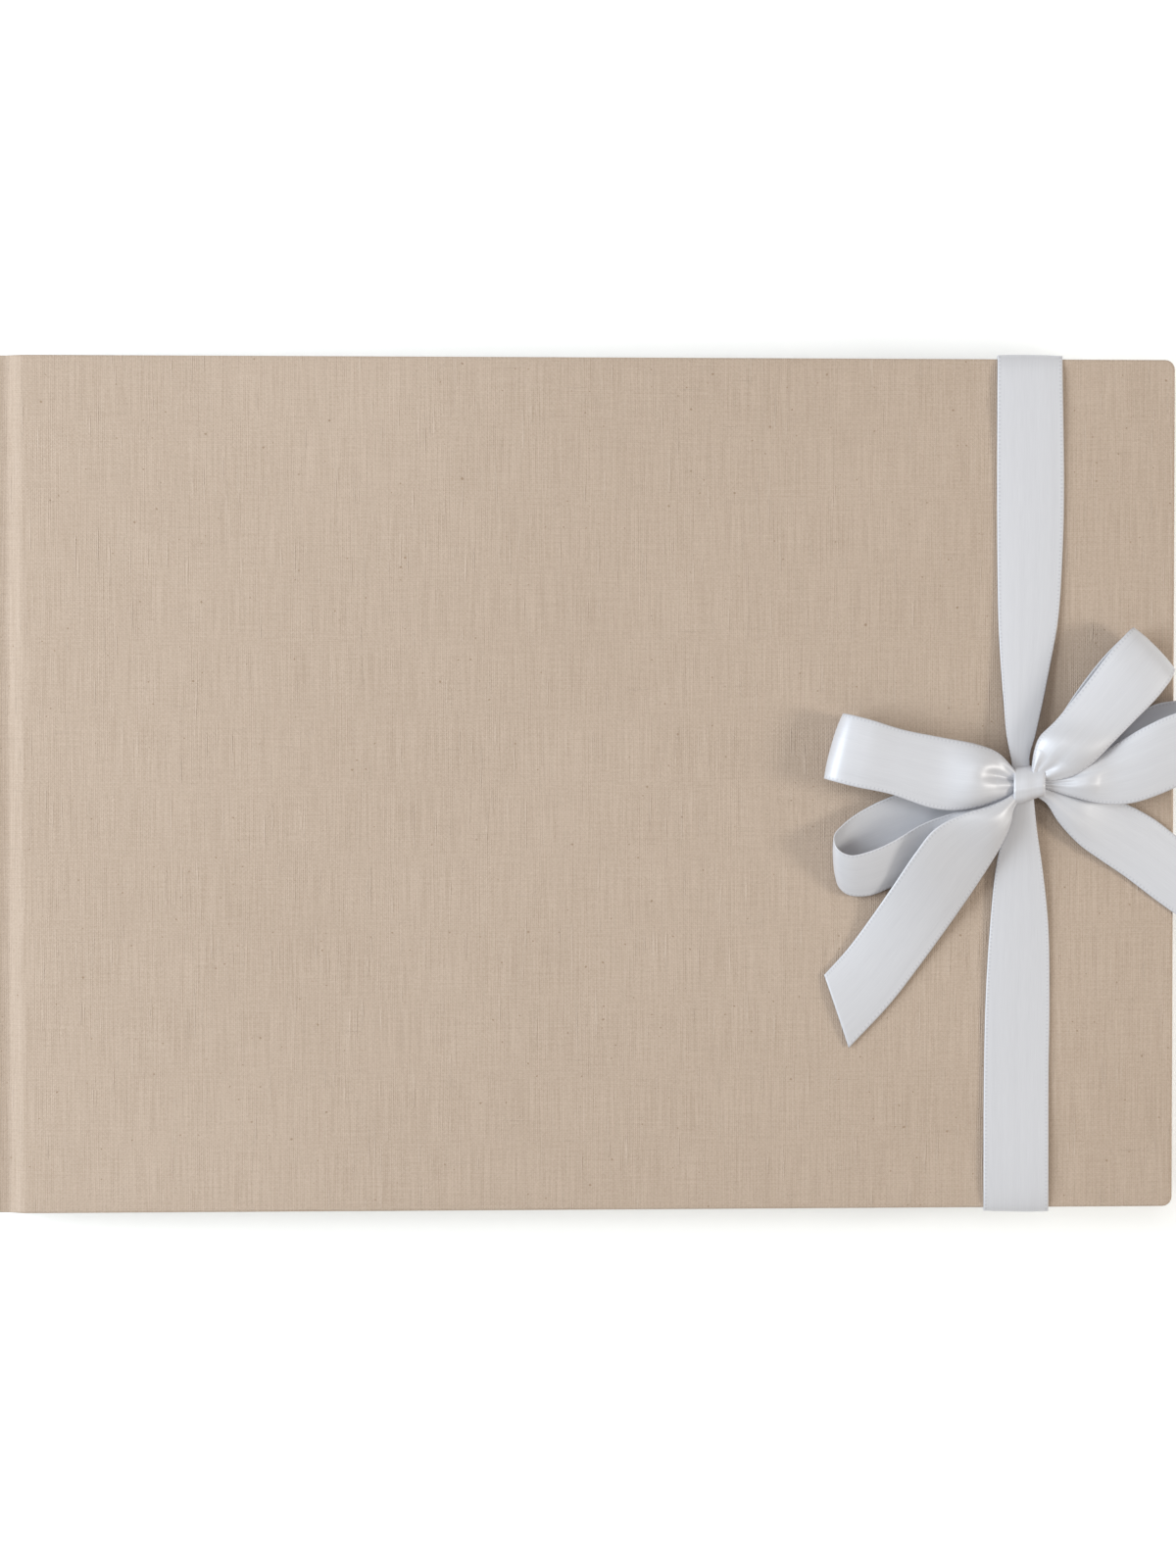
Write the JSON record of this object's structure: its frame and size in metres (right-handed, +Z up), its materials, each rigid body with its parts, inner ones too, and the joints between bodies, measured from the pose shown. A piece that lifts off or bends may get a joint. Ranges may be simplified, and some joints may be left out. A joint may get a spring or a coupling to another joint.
{
  "type": "wedding guest book",
  "caption": "Landscape casebound guest book in natural linen, with a hinged cover, sewn leaves and a white satin ribbon tied in a double bow round the front cover.",
  "frame": {"origin": "centre of the closed case's back face, on the surface the book lies on", "axes": "+X to the fore edge, +Y to the head, +Z up through the front cover"},
  "size_m": [0.3173, 0.2166, 0.0369],
  "materials": {
    "board": "grey-brown pressed board",
    "linen": "natural linen, fine plain weave with slubs",
    "endpaper": "matt off-white",
    "leaf_paper": "matt uncoated, off-white",
    "mull": "open starched gauze",
    "lining_paper": "brown kraft paper",
    "band_silk": "ivory embroidered thread",
    "thread": "waxed linen thread",
    "satin": "white satin with a soft sheen"
  },
  "bodies": {
    "back_cover": {"back_board": "board", "back_cover_cloth": "linen", "back_pastedown": "endpaper", "back_flyleaf": "endpaper", "section_5": "leaf_paper", "section_6": "leaf_paper", "section_7": "leaf_paper", "section_8": "leaf_paper"},
    "spine": {"spine_board": "board", "spine_cloth": "linen", "spine_mull": "mull", "spine_lining": "lining_paper", "head_band": "band_silk", "tail_band": "band_silk", "sewing_thread": "thread"},
    "front_cover": {"front_board": "board", "front_cover_cloth": "linen", "front_pastedown": "endpaper", "front_flyleaf": "endpaper", "section_1": "leaf_paper", "section_2": "leaf_paper", "section_3": "leaf_paper", "section_4": "leaf_paper", "ribbon_band": "satin", "bow_loop_upper_left": "satin", "bow_loop_lower_left": "satin", "bow_loop_upper_right": "satin", "bow_loop_lower_right": "satin", "bow_tail_left": "satin", "bow_tail_right": "satin", "bow_knot": "satin"},
    "leaf_1": {"leaf_1": "leaf_paper"},
    "leaf_2": {"leaf_2": "leaf_paper"},
    "leaf_3": {"leaf_3": "leaf_paper"},
    "leaf_4": {"leaf_4": "leaf_paper"}
  },
  "joints": [
    {"name": "spine_hinge", "type": "hinge", "parent": "back_cover", "child": "spine", "pos_m": [-0.1485, 0, 0.003], "axis": [0, -1, 0], "range_deg": [0, 90]},
    {"name": "front_hinge", "type": "hinge", "parent": "spine", "child": "front_cover", "pos_m": [-0.1485, 0, 0.02045], "axis": [0, -1, 0], "range_deg": [0, 84]},
    {"name": "leaf_1_turn", "type": "hinge", "parent": "spine", "child": "leaf_1", "pos_m": [-0.1485, 0, 0.0122], "axis": [0, -1, 0], "range_deg": [0, 34.1]},
    {"name": "leaf_2_turn", "type": "hinge", "parent": "spine", "child": "leaf_2", "pos_m": [-0.1485, 0, 0.01195], "axis": [0, -1, 0], "range_deg": [0, 17.3]},
    {"name": "leaf_3_turn", "type": "hinge", "parent": "spine", "child": "leaf_3", "pos_m": [-0.1485, 0, 0.0115], "axis": [0, -1, 0], "range_deg": [-18.5, 0]},
    {"name": "leaf_4_turn", "type": "hinge", "parent": "spine", "child": "leaf_4", "pos_m": [-0.1485, 0, 0.01125], "axis": [0, -1, 0], "range_deg": [-36.5, 0]}
  ],
  "couplings": [
    {"joint": "leaf_1_turn", "follows": "front_hinge", "ratio": 0.4},
    {"joint": "leaf_2_turn", "follows": "front_hinge", "ratio": 0.2},
    {"joint": "leaf_3_turn", "follows": "spine_hinge", "ratio": -0.2},
    {"joint": "leaf_4_turn", "follows": "spine_hinge", "ratio": -0.4}
  ]
}
